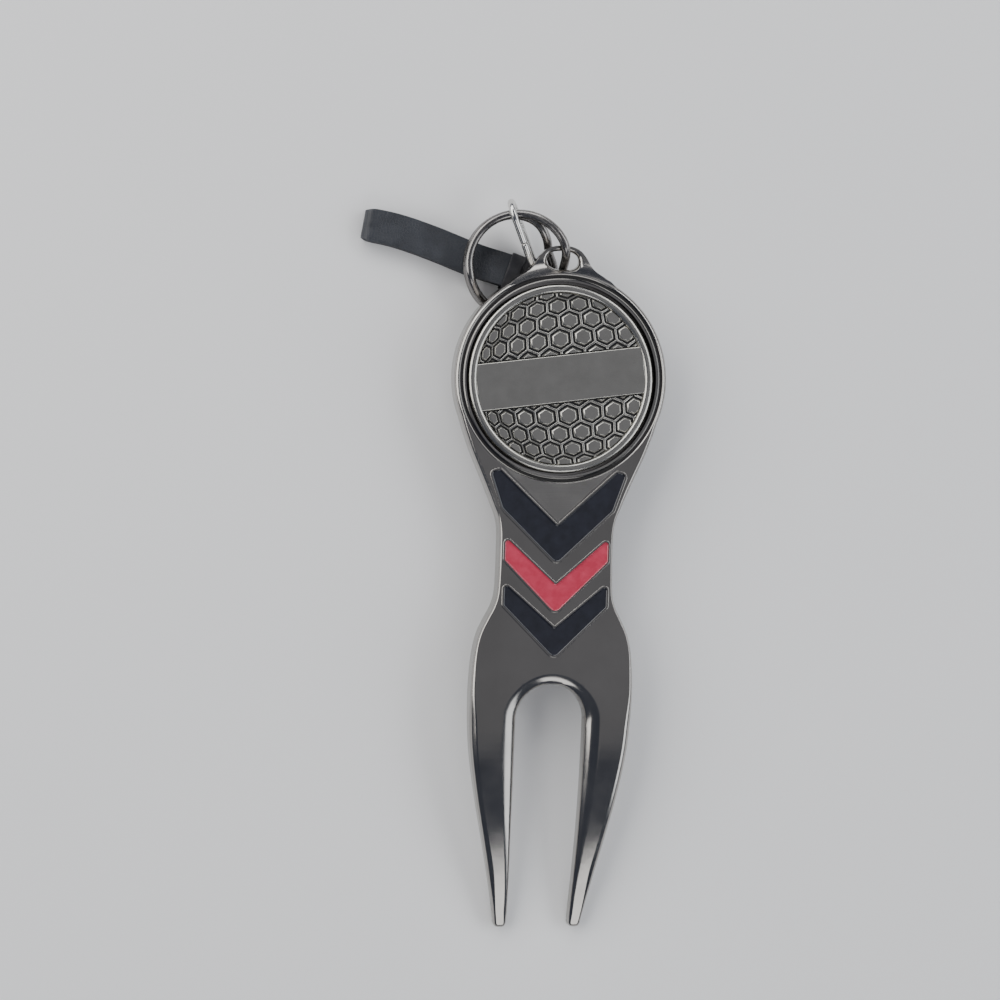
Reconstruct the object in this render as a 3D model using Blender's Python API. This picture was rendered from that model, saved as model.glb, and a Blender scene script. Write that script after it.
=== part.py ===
"""Divot repair tool with a magnetic ball marker, a split ring, an oval link and a hanging strap.

Frame: +Z is the show face, +Y points to the ring lug, -Y to the prong tips, X runs across.
The pieces are laid out with the tool axis at X = 0, the marker centre at X = Y = 0 and the
resting surface at Z = 0; at the end the whole object is moved so that the origin lies under
the middle of its box. Helper values are in millimetres and become metres in the meshes.
"""

import math

import bmesh
import bpy
from mathutils import Matrix, Vector

MM = 0.001

# Casting
BACK_Z = 3.8
BODY_T = 3.3
HEAD_R = 14.2
TIP_Y = -73.0
BEND_START_Y = -41.0
BEND_DROP = 3.8
TIP_THIN = 0.5
SLOT_HALF = 4.65
ARCH_Y = -44.75
LUG_BACK = 0.8
LUG_FRONT = 2.1
HOLE_X = 2.15
HOLE_Y = 1.25
HOLE_CY = 15.52
LUG_DISH = [(13.72, 3.35), (14.0, 3.1), (14.35, 2.82), (14.8, 2.5), (15.3, 2.28), (15.9, 2.15), (16.7, 2.1)]
RECESS_DEPTH = 0.55
LIP_W = 0.26
LIP_H = 0.13
ENAMEL_GAP = 0.05

# Ball marker and its magnet
POCKET_R = 12.7
POCKET_FLOOR = 1.5
MARKER_R = 12.4
MARKER_T = 1.75
MARKER_TURN = math.radians(8.0)
BAND_HALF = 3.1
FIELD_R = 11.15
CELL_PITCH = 3.17
ROW_PITCH = 2.58
DOME_R = 14.0
DOME_X = 2.0
MAGNET_R = 5.0
MAGNET_T = 1.0
MAGNET_FLOOR = 0.4

# Split ring: centre and wire radius
RING_C = (-5.9, 15.0)
RING_WIRE = 0.58

# Oval link
LINK_HALF = 5.2
LINK_END_R = 1.7
LINK_WIRE = 0.46
LINK_AT = 94.5
LINK_EYE = (-2.7, 14.07, 1.76)
LINK_ROLL = math.radians(71.1)

# Strap and its end clamp
STRAP_W = 4.3
STRAP_LAYER = 0.95
STRAP_LAYER_GAP = 0.14
STRAP_DIR = math.radians(162.0)
STRAP_START = 2.37
STRAP_SIDE = 1.16
CLAMP_SHEET = 0.3
CLAMP_LEN = 1.6
CLAMP_W = 4.9
TAB_T = 0.4
TAB_R = 1.7
EYE_R = 1.25


def clear_scene():
    for obj in list(bpy.data.objects):
        bpy.data.objects.remove(obj, do_unlink=True)


def material(name, color, metallic, roughness):
    mat = bpy.data.materials.new(name)
    mat.use_nodes = True
    shader = mat.node_tree.nodes["Principled BSDF"]
    shader.inputs["Base Color"].default_value = (color[0], color[1], color[2], 1.0)
    shader.inputs["Metallic"].default_value = metallic
    shader.inputs["Roughness"].default_value = roughness
    return mat


def to_object(name, bm, mat=None):
    bmesh.ops.remove_doubles(bm, verts=bm.verts, dist=1e-7)
    bmesh.ops.recalc_face_normals(bm, faces=bm.faces)
    mesh = bpy.data.meshes.new(name)
    bm.to_mesh(mesh)
    bm.free()
    obj = bpy.data.objects.new(name, mesh)
    bpy.context.collection.objects.link(obj)
    if mat is not None:
        mesh.materials.append(mat)
    return obj


def combine(obj, other, operation):
    """Apply an exact boolean to obj and remove the other solid."""
    mod = obj.modifiers.new("bool", "BOOLEAN")
    mod.operation = operation
    mod.solver = "EXACT"
    mod.object = other
    bpy.context.view_layer.objects.active = obj
    with bpy.context.temp_override(object=obj, active_object=obj):
        bpy.ops.object.modifier_apply(modifier=mod.name)
    bpy.data.objects.remove(other, do_unlink=True)


def catmull(points, steps):
    """Return a smooth open path through the points, with steps samples per span."""
    pts = [Vector((p[0], p[1])) for p in points]
    pts = [pts[0] * 2 - pts[1]] + pts + [pts[-1] * 2 - pts[-2]]
    path = []
    for i in range(1, len(pts) - 2):
        a, b, c, d = pts[i - 1], pts[i], pts[i + 1], pts[i + 2]
        for k in range(steps):
            t = k / steps
            v = 0.5 * ((2 * b) + (c - a) * t + (2 * a - 5 * b + 4 * c - d) * t * t
                       + (3 * b - a - 3 * c + d) * t * t * t)
            path.append((v.x, v.y))
    path.append((pts[-2].x, pts[-2].y))
    return path


def rounded(corners, seg):
    """Round each (x, y, radius) corner of a closed polygon."""
    out = []
    count = len(corners)
    for i in range(count):
        p = Vector(corners[i][:2])
        a = (Vector(corners[i - 1][:2]) - p).normalized()
        b = (Vector(corners[(i + 1) % count][:2]) - p).normalized()
        radius = corners[i][2]
        half = a.angle(b) / 2.0
        reach = radius / math.tan(half)
        centre = p + (a + b).normalized() * (radius / math.sin(half))
        start = p + a * reach - centre
        end = p + b * reach - centre
        a0 = math.atan2(start.y, start.x)
        turn = math.atan2(end.y, end.x) - a0
        while turn > math.pi:
            turn -= 2 * math.pi
        while turn < -math.pi:
            turn += 2 * math.pi
        for k in range(seg + 1):
            ang = a0 + turn * k / seg
            out.append((centre.x + radius * math.cos(ang), centre.y + radius * math.sin(ang)))
    return out


def signed_area(outline):
    total = 0.0
    for i, p in enumerate(outline):
        q = outline[(i + 1) % len(outline)]
        total += p[0] * q[1] - q[0] * p[1]
    return total / 2.0


def inset(outline, amount):
    """Move each point of a closed outline inward; amount is a number or one value per point."""
    count = len(outline)
    sign = 1.0 if signed_area(outline) > 0 else -1.0
    out = []
    for i, p in enumerate(outline):
        a = Vector(p) - Vector(outline[i - 1])
        b = Vector(outline[(i + 1) % count]) - Vector(p)
        na = Vector((-a.y, a.x)).normalized() * sign
        nb = Vector((-b.y, b.x)).normalized() * sign
        n = (na + nb).normalized()
        grow = 1.0 / max(0.6, n.dot(na))
        d = amount[i] if isinstance(amount, list) else amount
        out.append((p[0] + n.x * d * grow, p[1] + n.y * d * grow))
    return out


def loft(levels):
    """Closed solid through rings of 3-D points, all with the same count, capped at both ends."""
    bm = bmesh.new()
    rings = []
    for ring in levels:
        rings.append([bm.verts.new((p[0] * MM, p[1] * MM, p[2] * MM)) for p in ring])
    count = len(rings[0])
    for low, high in zip(rings, rings[1:]):
        for i in range(count):
            j = (i + 1) % count
            bm.faces.new((low[i], low[j], high[j], high[i]))
    bm.faces.new(list(reversed(rings[0])))
    bm.faces.new(rings[-1])
    return bm


def prism(outline, z0, z1, bevel=0.0):
    """Upright prism with an optional small chamfer round its top edge."""
    levels = [[(x, y, z0) for x, y in outline]]
    if bevel > 0:
        levels.append([(x, y, z1 - bevel) for x, y in outline])
        levels.append([(x, y, z1) for x, y in inset(outline, bevel)])
    else:
        levels.append([(x, y, z1) for x, y in outline])
    return loft(levels)


def circle(radius, count, cx=0.0, cy=0.0):
    return [(cx + radius * math.cos(2 * math.pi * i / count),
             cy + radius * math.sin(2 * math.pi * i / count)) for i in range(count)]


def oval(rx, ry, count, cx, cy):
    """Flattened oval between an ellipse and a rounded rectangle."""
    out = []
    for i in range(count):
        a = 2 * math.pi * i / count
        c, s = math.cos(a), math.sin(a)
        out.append((cx + rx * math.copysign(abs(c) ** 0.85, c),
                    cy + ry * math.copysign(abs(s) ** 0.85, s)))
    return out


def tube(name, points, radius, sides, mat):
    """Round wire through the points, capped at both ends."""
    data = bpy.data.curves.new(name + "_path", "CURVE")
    data.dimensions = "3D"
    data.bevel_depth = radius * MM
    data.bevel_resolution = sides
    data.use_fill_caps = True
    data.twist_mode = "MINIMUM"
    spline = data.splines.new("POLY")
    spline.points.add(len(points) - 1)
    for item, p in zip(spline.points, points):
        item.co = (p[0] * MM, p[1] * MM, p[2] * MM, 1.0)
    holder = bpy.data.objects.new(name + "_path", data)
    bpy.context.collection.objects.link(holder)
    bpy.context.view_layer.update()
    mesh = bpy.data.meshes.new_from_object(holder)
    bpy.data.objects.remove(holder, do_unlink=True)
    bm = bmesh.new()
    bm.from_mesh(mesh)
    bpy.data.meshes.remove(mesh)
    return to_object(name, bm, mat)


def smooth_by_angle(obj, degrees):
    """Shade smooth, keeping edges sharper than the angle."""
    limit = math.radians(degrees)
    bm = bmesh.new()
    bm.from_mesh(obj.data)
    for face in bm.faces:
        face.smooth = True
    for edge in bm.edges:
        flat_pair = len(edge.link_faces) == 2
        edge.smooth = flat_pair and edge.calc_face_angle(0.0) < limit
    bm.to_mesh(obj.data)
    bm.free()


def set_origin(obj, point):
    """Move the origin to a point in millimetres without moving the shape."""
    shift = Vector(point) * MM
    obj.data.transform(Matrix.Translation(-shift))
    obj.location = shift


# ---------------------------------------------------------------- casting

def body_outline():
    """Right half from the lug top down to the slot arch, then its mirror image."""
    lug = catmull([(0.0, 17.5), (1.25, 17.36), (2.3, 16.9), (3.0, 16.2), (3.48, 15.45),
                   (3.9, 14.8), (4.5, 14.2), (5.35, 13.62), (6.35, 12.95)], 2)
    head = []
    for deg in range(60, -23, -4):
        a = math.radians(deg)
        head.append((HEAD_R * math.cos(a), HEAD_R * math.sin(a)))
    waist = catmull([(12.65, -7.0), (11.6, -9.8), (10.45, -12.4), (9.35, -14.9), (8.5, -16.9),
                     (7.9, -18.4), (7.62, -20.2), (7.6, -22.5), (7.62, -25.5), (7.75, -28.2),
                     (8.2, -29.9), (9.0, -31.5), (9.85, -33.3), (10.4, -35.4), (10.72, -38.0),
                     (10.86, -41.5), (10.8, -45.0), (10.55, -48.5), (10.05, -52.0), (9.4, -55.5),
                     (8.65, -59.0), (7.87, -62.5), (7.1, -66.0), (6.4, -69.3), (6.05, -71.2)], 2)
    tip = [(5.86, TIP_Y + 0.5), (5.68, TIP_Y + 0.14), (5.35, TIP_Y), (4.75, TIP_Y),
           (4.42, TIP_Y + 0.14), (4.25, TIP_Y + 0.5)]
    slot = catmull([(4.22, -71.0), (4.3, -68.0), (4.42, -64.0), (4.52, -60.0), (4.59, -55.5),
                    (4.63, -51.0), (4.65, -46.9)], 2)
    arch = []
    for k in range(0, 12):
        a = math.radians(90.0 * k / 12)
        arch.append((SLOT_HALF * math.cos(a), ARCH_Y + SLOT_HALF * math.sin(a)))
    right = lug + head + waist + tip + slot + arch
    top = [(0.0, ARCH_Y + SLOT_HALF)]
    left = [(-x, y) for x, y in reversed(right[1:])]
    return right + top + left


def ramp(value, low, high):
    t = max(0.0, min(1.0, (value - low) / (high - low)))
    return t * t * (3 - 2 * t)


def edge_sizes(x, y):
    """Front chamfer width and height, back chamfer width and height, at an outline point."""
    in_slot = y < -39.0 and abs(x) < SLOT_HALF + 0.02 and y > TIP_Y + 0.5
    if in_slot:
        arch = ramp(y, -45.0, -40.1)
        taper = ramp(-y, 47.0, 70.0)
        width = 2.15 - 0.55 * arch - 1.6 * taper
        height = 1.05 - 0.25 * arch - 0.45 * taper
        return width, height, 0.5 - 0.22 * taper, 0.5 - 0.2 * taper
    lug = ramp(y, 12.6, 14.6)
    neck = ramp(y, -40.0, -34.0) * ramp(-y, 14.0, 19.0)
    prong = ramp(-y, 40.0, 46.0)
    end = ramp(-y, 64.0, 71.5)
    width = 0.5 + 0.1 * lug - 0.2 * neck + 0.45 * prong - 0.6 * end
    height = 0.55 + 1.0 * lug - 0.15 * neck + 0.4 * prong - 0.3 * end
    return width, height, 0.5 - 0.25 * end, 0.5 + 0.85 * lug - 0.25 * end


def bend(z, y):
    """Thin the prongs toward the tips and curve them back to the resting surface."""
    t = max(0.0, (BEND_START_Y - y) / (BEND_START_Y - TIP_Y))
    return BACK_Z + z * (1.0 - TIP_THIN * t ** 1.5) - BEND_DROP * t * t


def make_body_blank():
    outline = body_outline()
    sizes = [edge_sizes(x, y) for x, y in outline]
    fw = [s[0] for s in sizes]
    fh = [s[1] for s in sizes]
    bw = [s[2] for s in sizes]
    bh = [s[3] for s in sizes]
    steps = [
        (bw, 1.0, [0.0] * len(outline)),
        (bw, 0.3, [h * 0.3 for h in bh]),
        (bw, 0.0, bh),
        (fw, 0.0, [BODY_T - h for h in fh]),
        (fw, 0.22, [BODY_T - h * 0.48 for h in fh]),
        (fw, 0.6, [BODY_T - h * 0.15 for h in fh]),
        (fw, 1.0, [BODY_T] * len(outline)),
    ]
    levels = []
    for width, share, heights in steps:
        ring = inset(outline, [w * share for w in width])
        levels.append([(p[0], p[1], h) for p, h in zip(ring, heights)])
    bm = loft(levels)
    y = -40.0
    while y > TIP_Y + 1.0:
        geom = list(bm.verts) + list(bm.edges) + list(bm.faces)
        bmesh.ops.bisect_plane(bm, geom=geom, plane_co=(0, y * MM, 0), plane_no=(0, 1, 0), dist=1e-7)
        y -= 2.2
    return bm


def chevron(kind):
    """Outline of one enamel recess."""
    if kind == "upper":
        right = [(7.42, -17.15, 0.6), (9.1, -12.35, 0.55), (7.85, -12.0, 0.5)]
        inner, apex = -19.25, -24.25
    elif kind == "middle":
        right = [(6.93, -23.85, 0.5), (6.93, -20.75, 0.4)]
        inner, apex = -26.95, -30.75
    else:
        right = [(6.93, -29.8, 0.5), (6.93, -26.75, 0.4)]
        inner, apex = -32.65, -36.65
    left = [(-x, y, r) for x, y, r in reversed(right)]
    return rounded([(0.0, apex, 0.9)] + right + [(0.0, inner, 0.35)] + left, 4)


def make_body(mat):
    bm = make_body_blank()
    body = to_object("tool_body", bm, mat)
    for kind in ("upper", "middle", "lower"):
        lip = to_object("lip", prism(inset(chevron(kind), -LIP_W), BODY_T - 0.5, BODY_T + LIP_H, 0.07))
        combine(body, lip, "UNION")
    for kind in ("upper", "middle", "lower"):
        cut = to_object("cut", prism(chevron(kind), BODY_T - RECESS_DEPTH, BODY_T + 1.0))
        combine(body, cut, "DIFFERENCE")
    pocket = to_object("cut", prism(circle(POCKET_R, 96), POCKET_FLOOR, BODY_T + 1.0))
    combine(body, pocket, "DIFFERENCE")
    well = to_object("cut", prism(circle(MAGNET_R + 0.15, 48), MAGNET_FLOOR, BODY_T))
    combine(body, well, "DIFFERENCE")
    combine(body, to_object("cut", lug_dish()), "DIFFERENCE")
    under = [(13.2, -1.0), (13.2, -0.02), (13.5, 0.3), (13.9, 0.62), (14.4, LUG_BACK),
             (19.0, LUG_BACK), (19.0, -1.0)]
    combine(body, to_object("cut", side_prism(under, 7.0)), "DIFFERENCE")
    combine(body, to_object("cut", lug_hole()), "DIFFERENCE")
    groove = []
    for k in range(12):
        a = 2 * math.pi * k / 12
        groove.append((13.32 + 0.5 * math.cos(a), BODY_T + 0.31 + 0.5 * math.sin(a)))
    combine(body, to_object("cut", turned(groove, 96)), "DIFFERENCE")
    for vert in body.data.vertices:
        y = vert.co.y / MM
        vert.co.z = bend(vert.co.z / MM, y) * MM
    smooth_by_angle(body, 32)
    return body


def lug_dish():
    """Hollow that follows the round of the head and falls to the outer edge of the lug."""
    profile = LUG_DISH + [(20.0, LUG_FRONT), (20.0, 5.0), (LUG_DISH[0][0], 5.0)]
    levels = []
    for k in range(25):
        a = math.radians(59.0 + 62.0 * k / 24.0)
        levels.append([(r * math.cos(a), r * math.sin(a), z) for r, z in profile])
    return loft(levels)


def dish_height(x, y):
    """Height of the lug front at a point of the hollow."""
    r = math.hypot(x, y)
    for (r0, z0), (r1, z1) in zip(LUG_DISH, LUG_DISH[1:]):
        if r <= r1:
            return z0 + (z1 - z0) * (r - r0) / (r1 - r0)
    return LUG_DISH[-1][1]


def lug_hole():
    """Oval hole with a flared back, and a flared front that follows the hollow."""
    levels = []
    for rise, grow in ((-0.35, 0.85), (0.0, 0.42), (0.18, 0.15), (0.4, 0.02)):
        ring = oval(HOLE_X + grow, HOLE_Y + grow * 0.8, 40, 0.0, HOLE_CY)
        levels.append([(x, y, LUG_BACK + rise) for x, y in ring])
    for rise, grow in ((-0.4, 0.02), (-0.18, 0.15), (0.0, 0.42), (0.45, 0.95)):
        ring = oval(HOLE_X + grow, HOLE_Y + grow * 0.8, 40, 0.0, HOLE_CY)
        levels.append([(x, y, dish_height(x, y) + rise) for x, y in ring])
    return loft(levels)


def side_prism(profile, half_x):
    """Extrude a (y, z) profile along X on both sides of the axis."""
    return loft([[(-half_x, y, z) for y, z in profile], [(half_x, y, z) for y, z in profile]])


def turned(profile, count):
    """Ring made by turning a closed (r, z) profile about the Z axis."""
    bm = bmesh.new()
    rings = []
    for i in range(count):
        a = 2 * math.pi * i / count
        c, s = math.cos(a), math.sin(a)
        rings.append([bm.verts.new((r * c * MM, r * s * MM, z * MM)) for r, z in profile])
    for i in range(count):
        one, two = rings[i], rings[(i + 1) % count]
        for k in range(len(profile)):
            m = (k + 1) % len(profile)
            bm.faces.new((one[k], two[k], two[m], one[m]))
    return bm


def make_enamel(kind, mat):
    outline = inset(chevron(kind), ENAMEL_GAP)
    z0 = BACK_Z + BODY_T - RECESS_DEPTH + ENAMEL_GAP
    z1 = BACK_Z + BODY_T + LIP_H - 0.05
    obj = to_object("enamel_" + kind, prism(outline, z0, z1, 0.1), mat)
    smooth_by_angle(obj, 50)
    return obj


# ---------------------------------------------------------------- ball marker

def squeeze(x, y):
    """Draw the cells closer together toward the edge, as on a shallow dome."""
    r = max(1e-6, math.hypot(x, y))
    k = DOME_R * math.sin(min(r / DOME_R, 1.5)) / r
    return x * k + DOME_X, y * k


def honeycomb():
    """Slab with a raised hexagon and a thin ridge round every cell."""
    bm = bmesh.new()
    profile = [(1.0, 1.44), (0.9, 1.44), (0.84, 1.22), (0.77, 1.22), (0.65, 1.52)]
    tall = ROW_PITCH / (CELL_PITCH * math.sqrt(3.0) / 2.0)
    side = CELL_PITCH / math.sqrt(3.0)
    for row in range(-6, 7):
        cy = row * ROW_PITCH + 0.17
        for col in range(-7, 7):
            cx = (col + 0.5 * ((row + 1) % 2)) * CELL_PITCH
            if math.hypot(cx, cy) > 19.0:
                continue
            rings = []
            for scale, z in profile:
                ring = []
                for k in range(6):
                    a = math.radians(30 + 60 * k)
                    px, py = squeeze(cx + side * scale * math.cos(a),
                                     cy + side * tall * scale * math.sin(a))
                    ring.append(bm.verts.new((px * MM, py * MM, z * MM)))
                rings.append(ring)
            for low, high in zip(rings, rings[1:]):
                for i in range(6):
                    j = (i + 1) % 6
                    bm.faces.new((low[i], low[j], high[j], high[i]))
            bm.faces.new(rings[-1])
    bmesh.ops.remove_doubles(bm, verts=bm.verts, dist=1e-6)
    border = [e for e in bm.edges if len(e.link_faces) == 1]
    wall = bmesh.ops.extrude_edge_only(bm, edges=border)["geom"]
    low_verts = [v for v in wall if isinstance(v, bmesh.types.BMVert)]
    for v in low_verts:
        v.co.z = 1.0 * MM
    rim = [e for e in wall if isinstance(e, bmesh.types.BMEdge) and len(e.link_faces) == 1]
    bmesh.ops.contextual_create(bm, geom=rim)
    return bm


def segment(sign):
    """Part of the field on one side of the plain band."""
    y0 = sign * (BAND_HALF + 0.12)
    a0 = math.asin(abs(y0) / FIELD_R)
    out = []
    for k in range(29):
        a = a0 + (math.pi - 2 * a0) * k / 28
        out.append((FIELD_R * math.cos(a), sign * FIELD_R * math.sin(a)))
    return out


def make_marker(mat):
    profile = [(0.0, 0.0), (12.1, 0.0), (MARKER_R, 0.3), (MARKER_R, 1.35), (12.25, 1.62),
               (11.95, MARKER_T), (11.6, MARKER_T), (11.3, 1.6), (11.1, 1.2), (0.0, 1.2)]
    disc = to_object("ball_marker", spun(profile, 96), mat)
    for sign in (1, -1):
        cells = to_object("cells", honeycomb())
        part = to_object("part", prism(segment(sign), 1.1, 2.2))
        combine(cells, part, "INTERSECT")
        combine(disc, cells, "UNION")
    reach = 11.35
    bar = [(-reach, -BAND_HALF), (reach, -BAND_HALF), (reach, BAND_HALF), (-reach, BAND_HALF)]
    combine(disc, to_object("bar", prism(bar, 1.0, 1.58, 0.12)), "UNION")
    disc.data.transform(Matrix.Rotation(MARKER_TURN, 4, "Z"))
    disc.data.transform(Matrix.Translation((0, 0, (BACK_Z + POCKET_FLOOR + 0.05) * MM)))
    smooth_by_angle(disc, 28)
    return disc


def spun(profile, count):
    """Solid of revolution from a profile that starts and ends on the axis."""
    bm = bmesh.new()
    low = bm.verts.new((0, 0, profile[0][1] * MM))
    high = bm.verts.new((0, 0, profile[-1][1] * MM))
    rings = []
    for r, z in profile[1:-1]:
        rings.append([bm.verts.new((x * MM, y * MM, z * MM)) for x, y in circle(r, count)])
    for i in range(count):
        j = (i + 1) % count
        bm.faces.new((low, rings[0][j], rings[0][i]))
        bm.faces.new((high, rings[-1][i], rings[-1][j]))
        for one, two in zip(rings, rings[1:]):
            bm.faces.new((one[i], one[j], two[j], two[i]))
    return bm


def make_magnet(mat):
    z0 = MAGNET_FLOOR + 0.05
    profile = [(0.0, z0), (MAGNET_R - 0.15, z0), (MAGNET_R, z0 + 0.15),
               (MAGNET_R, z0 + MAGNET_T - 0.15), (MAGNET_R - 0.15, z0 + MAGNET_T),
               (0.0, z0 + MAGNET_T)]
    obj = to_object("magnet", spun(profile, 48), mat)
    obj.data.transform(Matrix.Translation((0, 0, BACK_Z * MM)))
    smooth_by_angle(obj, 40)
    return obj


# ---------------------------------------------------------------- ring, link, strap

def spread(knots, at):
    """Smooth value through (position, value) knots."""
    for i in range(len(knots) - 1):
        x0, y0 = knots[i]
        x1, y1 = knots[i + 1]
        if at <= x1:
            span = x1 - x0
            t = (at - x0) / span
            before = knots[i - 1] if i > 0 else (x0 - span, 2 * y0 - y1)
            after = knots[i + 2] if i + 2 < len(knots) else (x1 + span, 2 * y1 - y0)
            m0 = (y1 - before[1]) / (x1 - before[0]) * span
            m1 = (after[1] - y0) / (after[0] - x0) * span
            t2, t3 = t * t, t * t * t
            return ((2 * t3 - 3 * t2 + 1) * y0 + (t3 - 2 * t2 + t) * m0
                    + (-2 * t3 + 3 * t2) * y1 + (t3 - t2) * m1)
    return knots[-1][1]


# Height of the wire centre along its two turns, by angle from +X
RING_HEIGHT = [(-20, 2.75), (-9, 3.3), (-2, 4.1), (5, 5.1), (12, 6.05), (20, 6.7), (32, 6.9),
               (60, 6.4), (90, 5.6), (120, 5.05), (150, 4.65), (180, 4.25), (198, 4.05),
               (220, 2.95), (240, 1.98), (270, 1.82), (315, 1.6), (340, 1.3), (360, 1.5),
               (380, 2.8), (398, 4.0), (420, 4.8), (450, 4.36), (480, 3.82), (510, 3.42),
               (540, 3.0), (558, 2.75), (580, 1.6), (600, 0.68), (630, 0.6), (645, 0.6)]
RING_RADIUS = [(-20, 6.35), (300, 6.35), (335, 6.2), (360, 5.5), (380, 4.9), (400, 5.2), (430, 6.0),
               (455, 6.3), (480, 6.35), (645, 6.35)]


def ring_point(deg):
    """Wire centre of the split ring at an angle along its two turns."""
    a = math.radians(deg)
    r = spread(RING_RADIUS, deg)
    return Vector((RING_C[0] + r * math.cos(a), RING_C[1] + r * math.sin(a),
                   spread(RING_HEIGHT, deg)))


def make_ring(mat):
    points = [ring_point(-20.0 + 5.0 * k) for k in range(134)]
    ring = tube("split_ring", points, RING_WIRE, 3, mat)
    smooth_by_angle(ring, 50)
    set_origin(ring, (0.0, HOLE_CY, BACK_Z + (LUG_BACK + LUG_FRONT) / 2.0))
    return ring


def link_top():
    """Middle of the two turns where the link hangs on them."""
    return (ring_point(LINK_AT) + ring_point(LINK_AT + 360.0)) / 2.0


def link_frame():
    """Axis from the split ring to the clamp eye, and the raised side direction."""
    eye = Vector(LINK_EYE)
    u = (eye - link_top()).normalized()
    side = Vector((u.y, -u.x, 0.0)).normalized()
    rise = side.cross(u).normalized()
    v = side * math.cos(LINK_ROLL) + rise * math.sin(LINK_ROLL)
    return eye - u * LINK_HALF, u, v


def make_link(mat):
    centre, u, v = link_frame()
    straight = LINK_HALF - LINK_END_R
    points = []
    for k in range(49):
        t = k / 48.0
        points.append(centre + stadium(t * 0.992 + 0.004, straight, LINK_END_R, u, v))
    link = tube("oval_link", points, LINK_WIRE, 2, mat)
    smooth_by_angle(link, 50)
    set_origin(link, link_top())
    return link


def stadium(t, straight, radius, u, v):
    """Point on a stadium path; t = 0 and 1 are the middle of the raised side."""
    total = 4 * straight + 2 * math.pi * radius
    s = (t % 1.0) * total
    if s < straight:
        return u * s + v * radius
    s -= straight
    if s < math.pi * radius:
        a = s / radius
        return u * (straight + radius * math.sin(a)) + v * (radius * math.cos(a))
    s -= math.pi * radius
    if s < 2 * straight:
        return u * (straight - s) - v * radius
    s -= 2 * straight
    if s < math.pi * radius:
        a = s / radius
        return u * (-straight - radius * math.sin(a)) - v * (radius * math.cos(a))
    s -= math.pi * radius
    return u * (-straight + s) + v * radius


def strap_path():
    """Centre line of the strap from inside the clamp to the folded far end."""
    d = Vector((math.cos(STRAP_DIR), math.sin(STRAP_DIR)))
    n = Vector((-d.y, d.x))
    start = strap_base()
    pts = [start, start + d * 2.0, start + d * 6.0 + n * 0.15, start + d * 12.0,
           start + d * 17.0 + n * 0.15, start + d * 21.4 + n * 0.8]
    return catmull([(p.x, p.y) for p in pts], 5)


def strap_base():
    """Start of the strap's centre line, beside the eye of the clamp."""
    d = Vector((math.cos(STRAP_DIR), math.sin(STRAP_DIR)))
    return Vector(LINK_EYE[:2]) + d * STRAP_START + Vector((-d.y, d.x)) * STRAP_SIDE


def strap_point(path, s, w):
    """World position at distance s along the path and w across it."""
    last = len(path) - 1
    for i in range(last):
        a = Vector(path[i])
        b = Vector(path[i + 1])
        length = (b - a).length
        if s <= length or i == last - 1:
            d = (b - a).normalized()
            p = a + d * s
            return p.x - d.y * w, p.y + d.x * w
        s -= length
    return path[-1]


def strap_length(path):
    return sum((Vector(b) - Vector(a)).length for a, b in zip(path, path[1:]))


def make_strap(mat):
    path = strap_path()
    length = strap_length(path)
    z0 = CLAMP_SHEET + 0.05
    layer = STRAP_LAYER
    gap = STRAP_LAYER_GAP
    top = 2 * layer + gap
    mid = top / 2.0
    run = length - mid
    inner = [(run - run * k / 10.0, layer + gap) for k in range(11)]
    lower = [(run * k / 10.0, layer) for k in range(11)]
    outer_low = [(run * k / 10.0, 0.0) for k in range(11)]
    fold_out = [(run + mid * math.sin(math.pi * k / 8.0), mid - mid * math.cos(math.pi * k / 8.0))
                for k in range(1, 8)]
    outer_top = [(run - run * k / 10.0, top) for k in range(11)]
    fold_in = [(run + gap / 2 * math.sin(math.pi * k / 4.0), mid - gap / 2 * math.cos(math.pi * k / 4.0))
               for k in (3, 2, 1)]
    profile = outer_low + fold_out + outer_top + list(reversed(inner)) + fold_in + list(reversed(lower))
    half = STRAP_W / 2.0
    rows = [(-half, 0.16), (-half + 0.2, 0.0), (0.0, 0.0), (half - 0.2, 0.0), (half, 0.16)]
    levels = []
    for w, pinch in rows:
        ring = []
        for s, z in inset(profile, pinch):
            corner = max(0.0, s - (length - 1.6)) / 1.6
            reach = w * (1.0 - 0.16 * corner * corner)
            x, y = strap_point(path, max(0.0, s), reach)
            ring.append((x, y, z0 + strap_rise(z, s)))
        levels.append(ring)
    strap = to_object("strap", loft(levels), mat)
    smooth_by_angle(strap, 50)
    return strap


def strap_rise(z, s):
    """Outside the clamp the strap settles onto the resting surface."""
    return z - (CLAMP_SHEET + 0.05) * ramp(s, CLAMP_LEN, CLAMP_LEN + 4.0)


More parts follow.
